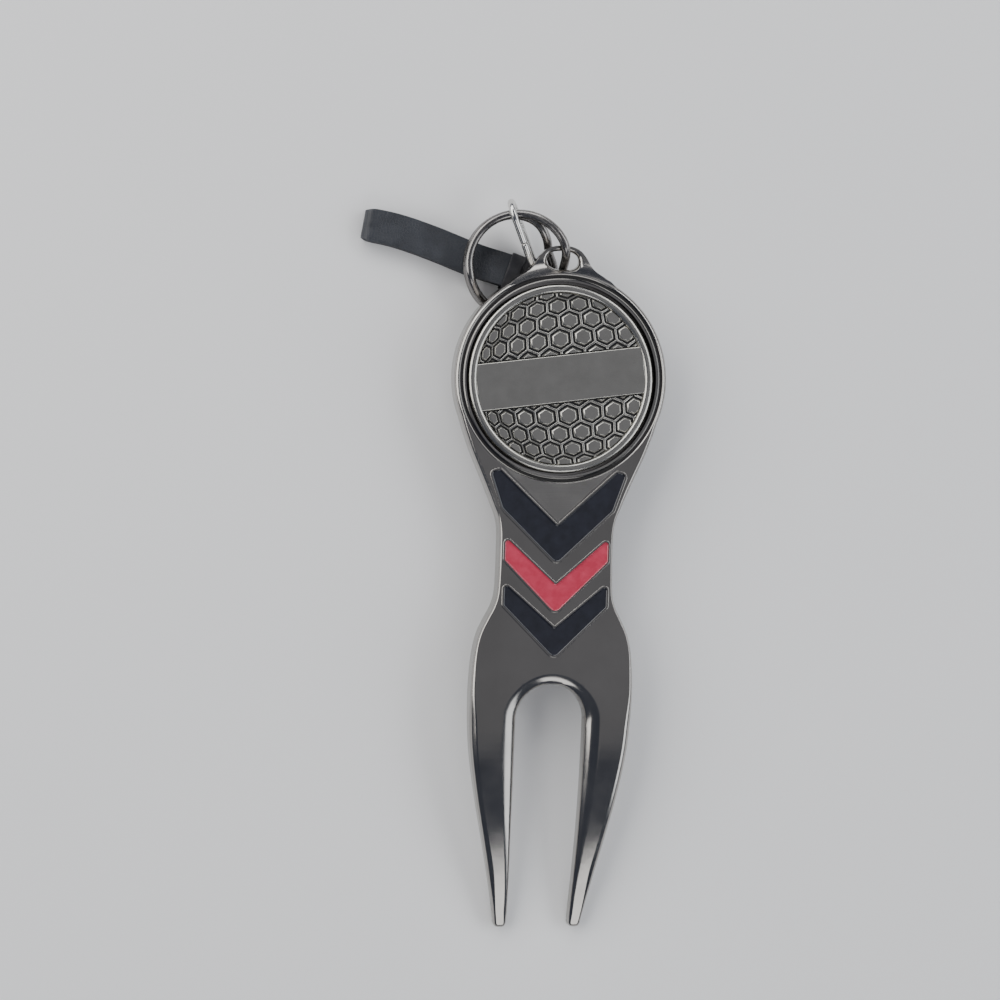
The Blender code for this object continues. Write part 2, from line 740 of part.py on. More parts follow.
def make_clamp(mat):
    """Folded sheet end with a flat tab and eye for the link."""
    eye = Vector(LINK_EYE)
    d = Vector((math.cos(STRAP_DIR), math.sin(STRAP_DIR), 0.0))
    n = Vector((-d.y, d.x, 0.0))
    base = strap_base().to_3d()
    gap = 0.05
    sheet = CLAMP_SHEET
    height = 2 * STRAP_LAYER + STRAP_LAYER_GAP + 2 * gap + 2 * sheet
    wall = -0.12
    profile = [(wall - sheet, 0.0), (CLAMP_LEN - 0.1, 0.0), (CLAMP_LEN, 0.1), (CLAMP_LEN, sheet),
               (wall, sheet), (wall, height - sheet), (CLAMP_LEN, height - sheet),
               (CLAMP_LEN, height - 0.1), (CLAMP_LEN - 0.1, height), (wall - sheet + 0.25, height),
               (wall - sheet, height - 0.25)]
    half = CLAMP_W / 2.0
    levels = []
    for w in (-half, half):
        ring = []
        for s, z in profile:
            p = base + d * s + n * w
            ring.append((p.x, p.y, z))
        levels.append(ring)
    clamp = to_object("strap_clamp", loft(levels), mat)
    tab_z = LINK_EYE[2] - TAB_T / 2.0
    outline = []
    for k in range(17):
        a = STRAP_DIR + math.pi / 2 + math.pi * k / 16.0
        outline.append((eye.x + TAB_R * math.cos(a), eye.y + TAB_R * math.sin(a)))
    for side in (-TAB_R, TAB_R):
        p = Vector((eye.x, eye.y, 0.0)) + d * (STRAP_START - 0.3) + n * side
        outline.append((p.x, p.y))
    combine(clamp, to_object("tab", prism(outline, tab_z, tab_z + TAB_T)), "UNION")
    hole = circle(EYE_R, 20, eye.x, eye.y)
    combine(clamp, to_object("cut", prism(hole, tab_z - 0.5, tab_z + TAB_T + 0.5)), "DIFFERENCE")
    smooth_by_angle(clamp, 30)
    set_origin(clamp, (eye.x, eye.y, tab_z + TAB_T / 2.0))
    return clamp


def centre_base():
    """Put the origin under the middle of the whole object's box, on the resting surface."""
    corners = [obj.matrix_world @ v.co for obj in bpy.data.objects for v in obj.data.vertices]
    low = Vector([min(c[k] for c in corners) for k in range(3)])
    high = Vector([max(c[k] for c in corners) for k in range(3)])
    shift = Vector((-(low.x + high.x) / 2.0, -(low.y + high.y) / 2.0, -low.z))
    for obj in bpy.data.objects:
        obj.location = obj.location + shift


clear_scene()
gunmetal = material("gunmetal_casting", (0.12, 0.115, 0.11), 1.0, 0.22)
black_enamel = material("enamel_upper_black", (0.012, 0.013, 0.02), 0.0, 0.12)
red_enamel = material("enamel_middle_red", (0.55, 0.05, 0.08), 0.0, 0.15)
black_enamel_low = material("enamel_lower_black", (0.012, 0.013, 0.02), 0.0, 0.12)
antique = material("antique_marker_metal", (0.16, 0.155, 0.15), 1.0, 0.3)
magnet_metal = material("magnet_nickel", (0.45, 0.45, 0.46), 1.0, 0.3)
ring_metal = material("split_ring_gunmetal", (0.14, 0.135, 0.13), 1.0, 0.25)
link_metal = material("oval_link_silver", (0.6, 0.59, 0.57), 1.0, 0.18)
leather = material("strap_black_leather", (0.03, 0.032, 0.038), 0.0, 0.55)
clamp_metal = material("clamp_silver", (0.6, 0.59, 0.57), 1.0, 0.2)

make_body(gunmetal)
make_enamel("upper", black_enamel)
make_enamel("middle", red_enamel)
make_enamel("lower", black_enamel_low)
make_magnet(magnet_metal)
make_marker(antique)
make_ring(ring_metal)
make_link(link_metal)
make_strap(leather)
make_clamp(clamp_metal)
bpy.context.view_layer.update()
centre_base()
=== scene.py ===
"""Looks of the divot repair tool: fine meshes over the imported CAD, node materials, light and camera."""

import math

import bmesh
import bpy
from mathutils import Matrix, Vector


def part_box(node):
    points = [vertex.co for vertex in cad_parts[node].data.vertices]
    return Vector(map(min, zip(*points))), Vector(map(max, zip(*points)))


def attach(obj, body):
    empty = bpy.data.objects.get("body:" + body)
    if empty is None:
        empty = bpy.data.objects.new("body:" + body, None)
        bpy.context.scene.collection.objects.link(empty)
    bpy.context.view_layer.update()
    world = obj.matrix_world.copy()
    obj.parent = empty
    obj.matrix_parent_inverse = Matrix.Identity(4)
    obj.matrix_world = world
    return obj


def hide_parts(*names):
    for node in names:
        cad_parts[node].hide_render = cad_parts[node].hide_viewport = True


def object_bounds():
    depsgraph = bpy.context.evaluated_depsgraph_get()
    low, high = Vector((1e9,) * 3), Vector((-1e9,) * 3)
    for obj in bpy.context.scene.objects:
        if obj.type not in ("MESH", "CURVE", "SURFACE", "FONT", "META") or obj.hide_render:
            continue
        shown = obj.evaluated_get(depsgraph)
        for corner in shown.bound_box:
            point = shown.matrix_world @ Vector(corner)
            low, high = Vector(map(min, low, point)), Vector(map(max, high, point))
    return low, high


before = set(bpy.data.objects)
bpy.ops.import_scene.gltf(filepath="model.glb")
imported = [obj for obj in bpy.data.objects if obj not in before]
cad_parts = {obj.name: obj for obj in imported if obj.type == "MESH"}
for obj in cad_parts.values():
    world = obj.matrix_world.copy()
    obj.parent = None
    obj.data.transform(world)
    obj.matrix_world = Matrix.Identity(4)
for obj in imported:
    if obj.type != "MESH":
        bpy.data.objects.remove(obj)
CAD_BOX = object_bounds()

MM = 0.001
MARKER_LOW, MARKER_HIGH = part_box("ball_marker")

# Sizes below are in millimetres, in the same layout as the CAD

# Casting
BACK_Z = 3.8
BODY_T = 3.3
HEAD_R = 14.2
TIP_Y = -73.0
BEND_START_Y = -41.0
BEND_DROP = 3.8
TIP_THIN = 0.5
SLOT_HALF = 4.65
ARCH_Y = -44.75
LUG_BACK = 0.8
LUG_FRONT = 2.1
HOLE_X = 2.15
HOLE_Y = 1.25
HOLE_CY = 15.52
RECESS_DEPTH = 0.55
LIP_W = 0.26
LIP_H = 0.13
ENAMEL_GAP = 0.02
ENAMEL_DROP = 0.09
MAGNET_R = 5.0
MAGNET_FLOOR = 0.4
MAGNET_GAP = 0.15
COVE_AT = 13.32
COVE_RADIUS = 0.62
COVE_RAISE = 0.49

# Ball marker and its pocket
POCKET_R = 12.7
POCKET_FLOOR = 1.5
MARKER_R = 12.4
MARKER_T = 1.75
MARKER_TURN = math.radians(8.0)
BAND_HALF = 3.1
FIELD_R = 11.15
CELL_PITCH = 3.17
ROW_PITCH = 2.58
DOME_R = 14.0
DOME_X = 2.0
BAND_REACH = 11.35

# Split ring
RING_C = (-5.9, 15.0)
RING_WIRE = 0.58

# Oval link
LINK_HALF = 5.2
LINK_END_R = 1.7
LINK_WIRE = 0.46
LINK_AT = 94.5
LINK_EYE = Vector((-2.7, 14.07, 1.76))
LINK_ROLL = math.radians(71.1)

# Strap and its end clamp
STRAP_W = 4.3
STRAP_LAYER = 0.95
STRAP_LAYER_GAP = 0.14
STRAP_EDGE = 0.3
STRAP_DIR = math.radians(162.0)
STRAP_START = 2.37
STRAP_SIDE = 1.16
CLAMP_SHEET = 0.3
CLAMP_LEN = 1.6
CLAMP_W = 4.9
CLAMP_BEND = 0.35
CLAMP_WALL = -0.12
TAB_T = 0.4
TAB_R = 1.7
EYE_R = 1.25

# Layout origin: under the marker centre, on the resting surface
ORIGIN = Vector((
    (MARKER_LOW.x + MARKER_HIGH.x) / 2.0,
    (MARKER_LOW.y + MARKER_HIGH.y) / 2.0,
    MARKER_LOW.z - (BACK_Z + POCKET_FLOOR + 0.05) * MM,
))


# ---------------------------------------------------------------- mesh helpers

def to_object(name, bm, mat=None, place=True):
    """Make an object from a bmesh in millimetres laid out like the CAD."""
    bmesh.ops.remove_doubles(bm, verts=bm.verts, dist=1e-4)
    bmesh.ops.recalc_face_normals(bm, faces=bm.faces)
    mesh = bpy.data.meshes.new(name)
    bm.to_mesh(mesh)
    bm.free()
    if place:
        mesh.transform(Matrix.Translation(ORIGIN) @ Matrix.Scale(MM, 4))
    obj = bpy.data.objects.new(name, mesh)
    bpy.context.collection.objects.link(obj)
    if mat is not None:
        mesh.materials.append(mat)
    return obj


def combine(obj, other, operation):
    """Apply an exact boolean to obj and remove the other solid."""
    mod = obj.modifiers.new("bool", "BOOLEAN")
    mod.operation = operation
    mod.solver = "EXACT"
    mod.object = other
    apply_modifier(obj, mod)
    bpy.data.objects.remove(other, do_unlink=True)


def apply_modifier(obj, mod):
    """Bake one modifier into the mesh."""
    bpy.context.view_layer.objects.active = obj
    with bpy.context.temp_override(object=obj, active_object=obj):
        bpy.ops.object.modifier_apply(modifier=mod.name)


def finish_shading(obj, degrees, weighted=True):
    """Smooth shading with sharp edges kept, and normals that favour the large flat faces."""
    limit = math.radians(degrees)
    bm = bmesh.new()
    bm.from_mesh(obj.data)
    for face in bm.faces:
        face.smooth = True
    for edge in bm.edges:
        edge.smooth = len(edge.link_faces) == 2 and edge.calc_face_angle(0.0) < limit
    bm.to_mesh(obj.data)
    bm.free()
    if weighted:
        mod = obj.modifiers.new("normals", "WEIGHTED_NORMAL")
        mod.mode = "FACE_AREA"
        mod.weight = 50
        mod.keep_sharp = True
        apply_modifier(obj, mod)


def catmull(points, steps):
    """Smooth curve through the points."""
    pts = [Vector((p[0], p[1])) for p in points]
    pts = [pts[0] * 2 - pts[1]] + pts + [pts[-1] * 2 - pts[-2]]
    path = []
    for i in range(1, len(pts) - 2):
        a, b, c, d = pts[i - 1], pts[i], pts[i + 1], pts[i + 2]
        for k in range(steps):
            t = k / steps
            v = 0.5 * ((2 * b) + (c - a) * t + (2 * a - 5 * b + 4 * c - d) * t * t
                       + (3 * b - a - 3 * c + d) * t * t * t)
            path.append((v.x, v.y))
    path.append((pts[-2].x, pts[-2].y))
    return path


def rounded(corners, seg):
    """Closed outline with a rounded corner at each (x, y, radius)."""
    out = []
    count = len(corners)
    for i in range(count):
        p = Vector(corners[i][:2])
        a = (Vector(corners[i - 1][:2]) - p).normalized()
        b = (Vector(corners[(i + 1) % count][:2]) - p).normalized()
        radius = corners[i][2]
        half = a.angle(b) / 2.0
        reach = radius / math.tan(half)
        centre = p + (a + b).normalized() * (radius / math.sin(half))
        start = p + a * reach - centre
        end = p + b * reach - centre
        a0 = math.atan2(start.y, start.x)
        turn = math.atan2(end.y, end.x) - a0
        while turn > math.pi:
            turn -= 2 * math.pi
        while turn < -math.pi:
            turn += 2 * math.pi
        for k in range(seg + 1):
            ang = a0 + turn * k / seg
            out.append((centre.x + radius * math.cos(ang), centre.y + radius * math.sin(ang)))
    return out


def signed_area(outline):
    total = 0.0
    for i, p in enumerate(outline):
        q = outline[(i + 1) % len(outline)]
        total += p[0] * q[1] - q[0] * p[1]
    return total / 2.0


def inset(outline, amount):
    """Outline moved inward by one amount, or by an amount for each point."""
    count = len(outline)
    sign = 1.0 if signed_area(outline) > 0 else -1.0
    out = []
    for i, p in enumerate(outline):
        a = Vector(p) - Vector(outline[i - 1])
        b = Vector(outline[(i + 1) % count]) - Vector(p)
        na = Vector((-a.y, a.x)).normalized() * sign
        nb = Vector((-b.y, b.x)).normalized() * sign
        n = (na + nb).normalized()
        grow = 1.0 / max(0.6, n.dot(na))
        d = amount[i] if isinstance(amount, list) else amount
        out.append((p[0] + n.x * d * grow, p[1] + n.y * d * grow))
    return out


def loft(levels):
    """Closed skin through rings of equal point count."""
    bm = bmesh.new()
    rings = []
    for ring in levels:
        rings.append([bm.verts.new(p) for p in ring])
    count = len(rings[0])
    for low, high in zip(rings, rings[1:]):
        for i in range(count):
            j = (i + 1) % count
            bm.faces.new((low[i], low[j], high[j], high[i]))
    bm.faces.new(list(reversed(rings[0])))
    bm.faces.new(rings[-1])
    return bm


def prism(outline, z0, z1, bevel=0.0, steps=4):
    """Upright prism with a rounded top edge."""
    levels = [[(x, y, z0) for x, y in outline]]
    if bevel > 0:
        for k in range(steps + 1):
            a = math.pi / 2 * k / steps
            ring = inset(outline, bevel * (1 - math.cos(a)))
            levels.append([(x, y, z1 - bevel + bevel * math.sin(a)) for x, y in ring])
    else:
        levels.append([(x, y, z1) for x, y in outline])
    return loft(levels)


def circle(radius, count, cx=0.0, cy=0.0):
    return [(cx + radius * math.cos(2 * math.pi * i / count),
             cy + radius * math.sin(2 * math.pi * i / count)) for i in range(count)]


def oval(rx, ry, count, cx, cy):
    """Ellipse with slightly squared ends."""
    out = []
    for i in range(count):
        a = 2 * math.pi * i / count
        c, s = math.cos(a), math.sin(a)
        out.append((cx + rx * math.copysign(abs(c) ** 0.85, c),
                    cy + ry * math.copysign(abs(s) ** 0.85, s)))
    return out


def turned(profile, count):
    """Ring made by turning a closed (r, z) profile about the Z axis."""
    bm = bmesh.new()
    rings = []
    for i in range(count):
        a = 2 * math.pi * i / count
        c, s = math.cos(a), math.sin(a)
        rings.append([bm.verts.new((r * c, r * s, z)) for r, z in profile])
    for i in range(count):
        one, two = rings[i], rings[(i + 1) % count]
        for k in range(len(profile)):
            m = (k + 1) % len(profile)
            bm.faces.new((one[k], two[k], two[m], one[m]))
    return bm


def spun(profile, count):
    """Solid of revolution from a profile that starts and ends on the axis."""
    bm = bmesh.new()
    low = bm.verts.new((0, 0, profile[0][1]))
    high = bm.verts.new((0, 0, profile[-1][1]))
    rings = []
    for r, z in profile[1:-1]:
        rings.append([bm.verts.new((x, y, z)) for x, y in circle(r, count)])
    for i in range(count):
        j = (i + 1) % count
        bm.faces.new((low, rings[0][j], rings[0][i]))
        bm.faces.new((high, rings[-1][i], rings[-1][j]))
        for one, two in zip(rings, rings[1:]):
            bm.faces.new((one[i], one[j], two[j], two[i]))
    return bm


def side_prism(profile, half_x):
    """Extrude a (y, z) profile along X on both sides of the axis."""
    return loft([[(-half_x, y, z) for y, z in profile], [(half_x, y, z) for y, z in profile]])


def tube(name, points, radius, sides, mat):
    """Round wire through the points, with domed ends."""
    bm = bmesh.new()
    pts = [Vector(p) for p in points]
    normal = Vector((0, 0, 1))
    rows = []
    for i, p in enumerate(pts):
        ahead = pts[min(i + 1, len(pts) - 1)]
        behind = pts[max(i - 1, 0)]
        t = (ahead - behind).normalized()
        normal = (normal - t * normal.dot(t)).normalized()
        side = t.cross(normal)
        rows.append((p, t, normal.copy(), side))
    full = []
    first, last = rows[0], rows[-1]
    for share, grow in ((1.0, 0.35), (0.75, 0.72), (0.35, 0.95)):
        full.append((first[0] - first[1] * radius * 0.5 * share, first[2], first[3], radius * grow))
    full += [(p, n, s, radius) for p, t, n, s in rows]
    for share, grow in ((0.35, 0.95), (0.75, 0.72), (1.0, 0.35)):
        full.append((last[0] + last[1] * radius * 0.5 * share, last[2], last[3], radius * grow))
    rings = []
    for p, n, s, r in full:
        ring = []
        for k in range(sides):
            a = 2 * math.pi * k / sides
            ring.append(bm.verts.new(p + n * r * math.cos(a) + s * r * math.sin(a)))
        rings.append(ring)
    for one, two in zip(rings, rings[1:]):
        for k in range(sides):
            m = (k + 1) % sides
            bm.faces.new((one[k], one[m], two[m], two[k]))
    bm.faces.new(list(reversed(rings[0])))
    bm.faces.new(rings[-1])
    obj = to_object(name, bm, mat)
    finish_shading(obj, 60, weighted=False)
    return obj


# ---------------------------------------------------------------- materials

class Nodes:
    """Small helper for building a material's node tree."""

    def __init__(self, name):
        self.mat = bpy.data.materials.new(name)
        self.mat.use_nodes = True
        self.tree = self.mat.node_tree
        self.shader = self.tree.nodes["Principled BSDF"]

    def add(self, kind, **values):
        node = self.tree.nodes.new(kind)
        for key, value in values.items():
            setattr(node, key, value)
        return node

    def link(self, a, b):
        self.tree.links.new(a, b)

    def value(self, socket, x):
        self.shader.inputs[socket].default_value = x

    def coords(self, scale):
        """Object coordinates times a scale vector."""
        tex = self.add("ShaderNodeTexCoord")
        mapping = self.add("ShaderNodeMapping")
        mapping.inputs["Scale"].default_value = scale
        self.link(tex.outputs["Object"], mapping.inputs["Vector"])
        return mapping.outputs["Vector"]

    def noise(self, scale, detail=3.0, rough=0.55, stretch=(1, 1, 1)):
        node = self.add("ShaderNodeTexNoise")
        node.inputs["Scale"].default_value = scale
        node.inputs["Detail"].default_value = detail
        node.inputs["Roughness"].default_value = rough
        self.link(self.coords(stretch), node.inputs["Vector"])
        return node.outputs["Fac"]

    def ramp(self, fac, stops):
        node = self.add("ShaderNodeValToRGB")
        ramp = node.color_ramp
        while len(ramp.elements) < len(stops):
            ramp.elements.new(0.5)
        for item, (pos, color) in zip(ramp.elements, stops):
            item.position = pos
            item.color = (color[0], color[1], color[2], 1.0)
        self.link(fac, node.inputs["Fac"])
        return node.outputs["Color"]

    def remap(self, fac, low, high, to_low, to_high):
        node = self.add("ShaderNodeMapRange")
        node.inputs["From Min"].default_value = low
        node.inputs["From Max"].default_value = high
        node.inputs["To Min"].default_value = to_low
        node.inputs["To Max"].default_value = to_high
        self.link(fac, node.inputs["Value"])
        return node.outputs["Result"]

    def math(self, operation, a, b=None):
        node = self.add("ShaderNodeMath", operation=operation)
        for i, x in enumerate((a, b)):
            if x is None:
                continue
            if isinstance(x, (int, float)):
                node.inputs[i].default_value = x
            else:
                self.link(x, node.inputs[i])
        return node.outputs[0]

    def mix(self, fac, a, b):
        node = self.add("ShaderNodeMix", data_type="RGBA")
        self.link(fac, node.inputs["Factor"])
        for key, x in (("A", a), ("B", b)):
            socket = [s for s in node.inputs if s.name == key and s.type == "RGBA"][0]
            if isinstance(x, tuple):
                socket.default_value = (x[0], x[1], x[2], 1.0)
            else:
                self.link(x, socket)
        return [s for s in node.outputs if s.type == "RGBA"][0]

    def bump(self, height, distance, strength, below=None):
        node = self.add("ShaderNodeBump")
        node.inputs["Distance"].default_value = distance
        node.inputs["Strength"].default_value = strength
        self.link(height, node.inputs["Height"])
        if below is not None:
            self.link(below, node.inputs["Normal"])
        return node.outputs["Normal"]

    def xyz(self):
        tex = self.add("ShaderNodeTexCoord")
        split = self.add("ShaderNodeSeparateXYZ")
        self.link(tex.outputs["Object"], split.inputs["Vector"])
        return split.outputs


def gunmetal():
    """Dark plated casting: polished, with a faint cast ripple and a brushed flat below the pocket."""
    n = Nodes("gunmetal_plating")
    tone = n.noise(90.0, 4.0)
    plated = n.ramp(tone, [(0.3, (0.33, 0.318, 0.3)), (0.7, (0.39, 0.375, 0.355))])
    n.value("Metallic", 1.0)
    x, y, z = n.xyz()
    # Painted shade: the cove round the head rim is darkened in colour to stand in for its shading
    across = n.math("SUBTRACT", x, ORIGIN.x)
    along = n.math("SUBTRACT", y, ORIGIN.y)
    squared = n.math("ADD", n.math("MULTIPLY", across, across), n.math("MULTIPLY", along, along))
    radius = n.math("POWER", squared, 0.5)
    outward = n.remap(radius, 0.01294, 0.01302, 0.0, 1.0)
    inward = n.remap(radius, 0.0136, 0.01368, 1.0, 0.0)
    raised = n.remap(z, ORIGIN.z + 0.0066, ORIGIN.z + 0.0067, 0.0, 1.0)
    painted_cove_shade = n.math("MULTIPLY", n.math("MULTIPLY", outward, inward), raised)
    # Painted shade: the base colour is mixed toward dark grey inside the cove ring
    n.link(n.mix(painted_cove_shade, plated, (0.12, 0.116, 0.11)), n.shader.inputs["Base Color"])
    # Brushed triangle between the pocket and the first chevron
    down = n.math("SUBTRACT", ORIGIN.y, y)
    side = n.math("ABSOLUTE", n.math("SUBTRACT", x, ORIGIN.x))
    under_v = n.math("ADD", down, n.math("MULTIPLY", side, 0.96))
    inside = n.remap(under_v, 0.0187, 0.0189, 1.0, 0.0)
    below = n.remap(down, 0.0085, 0.0088, 0.0, 1.0)
    flat = n.remap(z, ORIGIN.z + 0.00705, ORIGIN.z + 0.00708, 0.0, 1.0)
    mask = n.math("MULTIPLY", n.math("MULTIPLY", inside, below), flat)
    streaks = n.noise(1.0, 4.0, 0.7, (180.0, 16000.0, 400.0))
    scratch = n.noise(1.0, 3.0, 0.6, (60.0, 5000.0, 200.0))
    lines = n.math("MULTIPLY", n.math("ADD", streaks, scratch), mask)
    rough = n.math("ADD", n.remap(n.noise(260.0, 5.0), 0.3, 0.7, 0.13, 0.2), n.math("MULTIPLY", mask, 0.14))
    n.link(rough, n.shader.inputs["Roughness"])
    ripple = n.bump(n.noise(330.0, 2.0), 0.00004, 0.16)
    n.link(n.bump(lines, 0.00003, 0.55, ripple), n.shader.inputs["Normal"])
    return n.mat


def antique():
    """Marker metal: bright high spots and black paint in the low places."""
    n = Nodes("antique_marker")
    x, y, z = n.xyz()
    wear = n.math("MULTIPLY", n.math("SUBTRACT", n.noise(1400.0, 4.0), 0.5), 0.00012)
    height = n.math("ADD", n.math("SUBTRACT", z, MARKER_LOW.z), wear)
    metal = n.remap(height, 0.00128, 0.00138, 0.0, 1.0)
    tone = n.ramp(n.noise(420.0, 5.0), [(0.3, (0.46, 0.45, 0.415)), (0.7, (0.52, 0.508, 0.47))])
    n.link(n.mix(metal, (0.006, 0.006, 0.008), tone), n.shader.inputs["Base Color"])
    n.link(metal, n.shader.inputs["Metallic"])
    n.link(n.remap(metal, 0.0, 1.0, 0.42, 0.24), n.shader.inputs["Roughness"])
    grain = n.noise(5200.0, 3.0)
    n.link(n.bump(grain, 0.00002, 0.22), n.shader.inputs["Normal"])
    return n.mat


def enamel(name, deep, light):
    """Glossy enamel with a faintly uneven colour and surface."""
    n = Nodes(name)
    n.link(n.ramp(n.noise(700.0, 4.0), [(0.35, deep), (0.75, light)]), n.shader.inputs["Base Color"])
    n.value("Coat Weight", 0.6)
    n.value("Coat Roughness", 0.05)
    n.link(n.remap(n.noise(900.0, 3.0), 0.3, 0.7, 0.12, 0.22), n.shader.inputs["Roughness"])
    n.link(n.bump(n.noise(500.0, 2.0), 0.00005, 0.12), n.shader.inputs["Normal"])
    return n.mat


def wire_metal(name, dark, bright, rough):
    """Plated metal with a fine grain."""
    n = Nodes(name)
    n.link(n.ramp(n.noise(500.0, 4.0), [(0.3, dark), (0.7, bright)]), n.shader.inputs["Base Color"])
    n.value("Metallic", 1.0)
    n.link(n.remap(n.noise(1500.0, 4.0), 0.3, 0.7, rough, rough + 0.1), n.shader.inputs["Roughness"])
    n.link(n.bump(n.noise(3500.0, 3.0), 0.00002, 0.15), n.shader.inputs["Normal"])
    return n.mat


def leather():
    """Smooth coated black leather with a fine pebble grain."""
    n = Nodes("strap_leather")
    cells = n.add("ShaderNodeTexVoronoi", feature="DISTANCE_TO_EDGE")
    cells.inputs["Scale"].default_value = 2600.0
    n.link(n.coords((1, 1, 1)), cells.inputs["Vector"])
    pebble = n.remap(cells.outputs["Distance"], 0.0, 0.12, 0.0, 1.0)
    tone = n.ramp(n.noise(350.0, 5.0), [(0.3, (0.02, 0.022, 0.028)), (0.75, (0.042, 0.046, 0.056))])
    n.link(tone, n.shader.inputs["Base Color"])
    n.link(n.remap(n.noise(800.0, 4.0), 0.3, 0.7, 0.34, 0.5), n.shader.inputs["Roughness"])
    n.value("Specular IOR Level", 0.55)
    coarse = n.bump(n.noise(700.0, 3.0), 0.0001, 0.3)
    n.link(n.bump(pebble, 0.00004, 0.5, coarse), n.shader.inputs["Normal"])
    return n.mat


def floor_material():
    """Pale matt ground."""
    n = Nodes("floor_pale")
    tone = n.ramp(n.noise(6.0, 3.0), [(0.3, (0.9, 0.9, 0.905)), (0.7, (0.93, 0.93, 0.93))])
    n.link(tone, n.shader.inputs["Base Color"])
    n.link(n.remap(n.noise(40.0, 3.0), 0.3, 0.7, 0.55, 0.65), n.shader.inputs["Roughness"])
    return n.mat


# ---------------------------------------------------------------- casting

def body_outline():
    """Right half from the lug top down to the slot arch, then its mirror image."""
    lug = catmull([(0.0, 17.5), (1.25, 17.36), (2.3, 16.9), (3.0, 16.2), (3.48, 15.45),
                   (3.9, 14.8), (4.5, 14.2), (5.35, 13.62), (6.35, 12.95)], 6)
    head = []
    for k in range(0, 42):
        a = math.radians(60.0 - 2.0 * k)
        head.append((HEAD_R * math.cos(a), HEAD_R * math.sin(a)))
    waist = catmull([(12.65, -7.0), (11.6, -9.8), (10.45, -12.4), (9.35, -14.9), (8.5, -16.9),
                     (7.9, -18.4), (7.62, -20.2), (7.6, -22.5), (7.62, -25.5), (7.75, -28.2),
                     (8.2, -29.9), (9.0, -31.5), (9.85, -33.3), (10.4, -35.4), (10.72, -38.0),
                     (10.86, -41.5), (10.8, -45.0), (10.55, -48.5), (10.05, -52.0), (9.4, -55.5),
                     (8.65, -59.0), (7.87, -62.5), (7.1, -66.0), (6.4, -69.3), (6.05, -71.2)], 4)
    tip = catmull([(5.86, TIP_Y + 0.5), (5.68, TIP_Y + 0.14), (5.35, TIP_Y), (4.75, TIP_Y),
                   (4.42, TIP_Y + 0.14), (4.25, TIP_Y + 0.5)], 3)
    slot = catmull([(4.22, -71.0), (4.3, -68.0), (4.42, -64.0), (4.52, -60.0), (4.59, -55.5),
                    (4.63, -51.0), (4.65, -46.9)], 4)
    arch = []
    for k in range(0, 24):
        a = math.radians(90.0 * k / 24)
        arch.append((SLOT_HALF * math.cos(a), ARCH_Y + SLOT_HALF * math.sin(a)))
    right = lug + head + waist + tip + slot + arch
    top = [(0.0, ARCH_Y + SLOT_HALF)]
    left = [(-x, y) for x, y in reversed(right[1:])]
    return right + top + left


def ramp(value, low, high):
    """Smooth step from 0 to 1."""
    t = max(0.0, min(1.0, (value - low) / (high - low)))
    return t * t * (3 - 2 * t)


def edge_sizes(x, y):
    """Front chamfer width and height, back chamfer width and height, at an outline point."""
    in_slot = y < -39.0 and abs(x) < SLOT_HALF + 0.02 and y > TIP_Y + 0.5
    if in_slot:
        arch = ramp(y, -45.0, -40.1)
        taper = ramp(-y, 47.0, 70.0)
        width = 2.15 - 0.55 * arch - 1.6 * taper
        height = 1.05 - 0.25 * arch - 0.45 * taper
        return width, height, 0.5 - 0.22 * taper, 0.5 - 0.2 * taper
    lug = ramp(y, 12.6, 14.6)
    neck = ramp(y, -40.0, -34.0) * ramp(-y, 14.0, 19.0)
    prong = ramp(-y, 40.0, 46.0)
    end = ramp(-y, 64.0, 71.5)
    width = 0.5 + 0.1 * lug - 0.2 * neck + 0.45 * prong - 0.6 * end
    height = 0.55 + 1.0 * lug - 0.15 * neck + 0.4 * prong - 0.3 * end
    return width, height, 0.5 - 0.25 * end, 0.5 + 0.85 * lug - 0.25 * end


def bend(z, y):
    """Thin the prongs toward the tips and curve them back to the resting surface."""
    t = max(0.0, (BEND_START_Y - y) / (BEND_START_Y - TIP_Y))
    return BACK_Z + z * (1.0 - TIP_THIN * t ** 1.5) - BEND_DROP * t * t


def make_body_blank():
    """Casting with rounded edges, before any recess or hole."""
    outline = body_outline()
    sizes = [edge_sizes(x, y) for x, y in outline]
    fw = [s[0] for s in sizes]
    fh = [s[1] for s in sizes]
    bw = [s[2] for s in sizes]
    bh = [s[3] for s in sizes]
    steps = [(bw, 1.0, [0.0] * len(outline)), (bw, 0.6, [h * 0.08 for h in bh]),
             (bw, 0.3, [h * 0.3 for h in bh]), (bw, 0.08, [h * 0.62 for h in bh]), (bw, 0.0, bh),
             (fw, 0.0, [BODY_T - h for h in fh]), (fw, 0.06, [BODY_T - h * 0.76 for h in fh]),
             (fw, 0.22, [BODY_T - h * 0.48 for h in fh]), (fw, 0.4, [BODY_T - h * 0.29 for h in fh]),
             (fw, 0.6, [BODY_T - h * 0.15 for h in fh]), (fw, 0.82, [BODY_T - h * 0.04 for h in fh]),
             (fw, 1.0, [BODY_T] * len(outline))]
    levels = []
    for width, share, heights in steps:
        ring = inset(outline, [w * share for w in width])
        levels.append([(p[0], p[1], h) for p, h in zip(ring, heights)])
    bm = loft(levels)
    y = -40.0
    while y > TIP_Y + 0.7:
        geom = list(bm.verts) + list(bm.edges) + list(bm.faces)
        bmesh.ops.bisect_plane(bm, geom=geom, plane_co=(0, y, 0), plane_no=(0, 1, 0), dist=1e-4)
        y -= 1.1
    return bm


